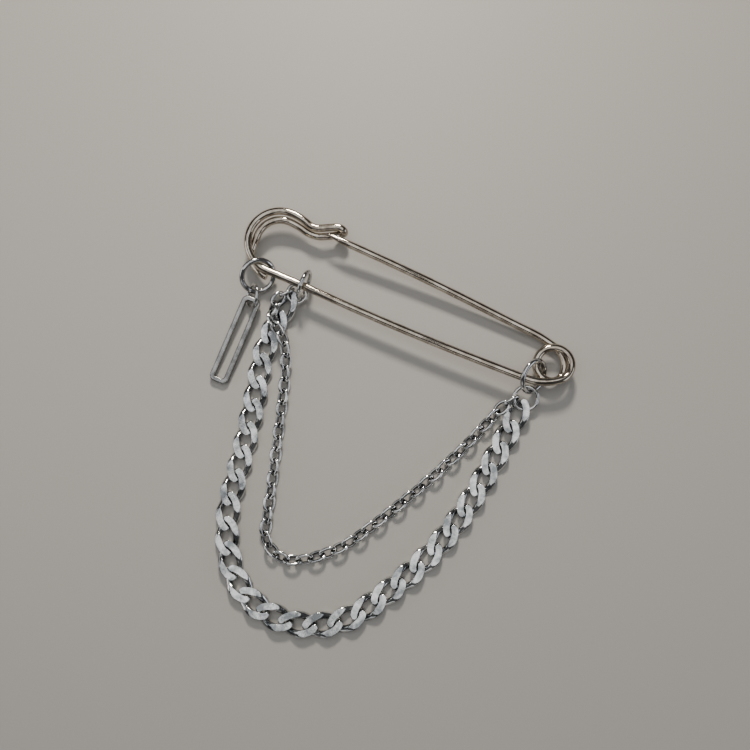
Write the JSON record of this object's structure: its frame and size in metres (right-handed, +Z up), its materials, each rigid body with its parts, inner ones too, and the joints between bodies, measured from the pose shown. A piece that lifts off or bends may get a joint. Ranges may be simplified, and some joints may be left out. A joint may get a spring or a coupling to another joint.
{
  "type": "safety pin brooch",
  "caption": "Decorative safety pin brooch: coiled wire pin with an opening needle, jump rings, an open bar pendant and two swagged chains, lying flat.",
  "frame": {"origin": "middle of the bounding box's bottom face, on the table the brooch lies on", "axes": "+Z up off the table, +X along the pin's lower arm from head to coil, +Y from the hanging chains toward the needle"},
  "size_m": [0.0802, 0.087, 0.0072],
  "materials": {
    "pin_metal": "polished",
    "chain_metal": "polished"
  },
  "bodies": {
    "body": {"pin_body": "pin_metal", "big_ring": "chain_metal", "pendant_ring": "chain_metal", "bar_pendant": "chain_metal", "arm_ring": "chain_metal", "left_chain_ring": "chain_metal", "coil_ring": "chain_metal", "right_chain_ring": "chain_metal", "curb_chain": "chain_metal", "cable_chain": "chain_metal"},
    "needle": {"needle": "pin_metal"}
  },
  "joints": [
    {"name": "needle_open", "type": "hinge", "parent": "body", "child": "needle", "pos_m": [0.02797, 0.03789, 0.00155], "axis": [-0.9711, 0.2313, 0.0591], "range_deg": [0, 165]}
  ]
}
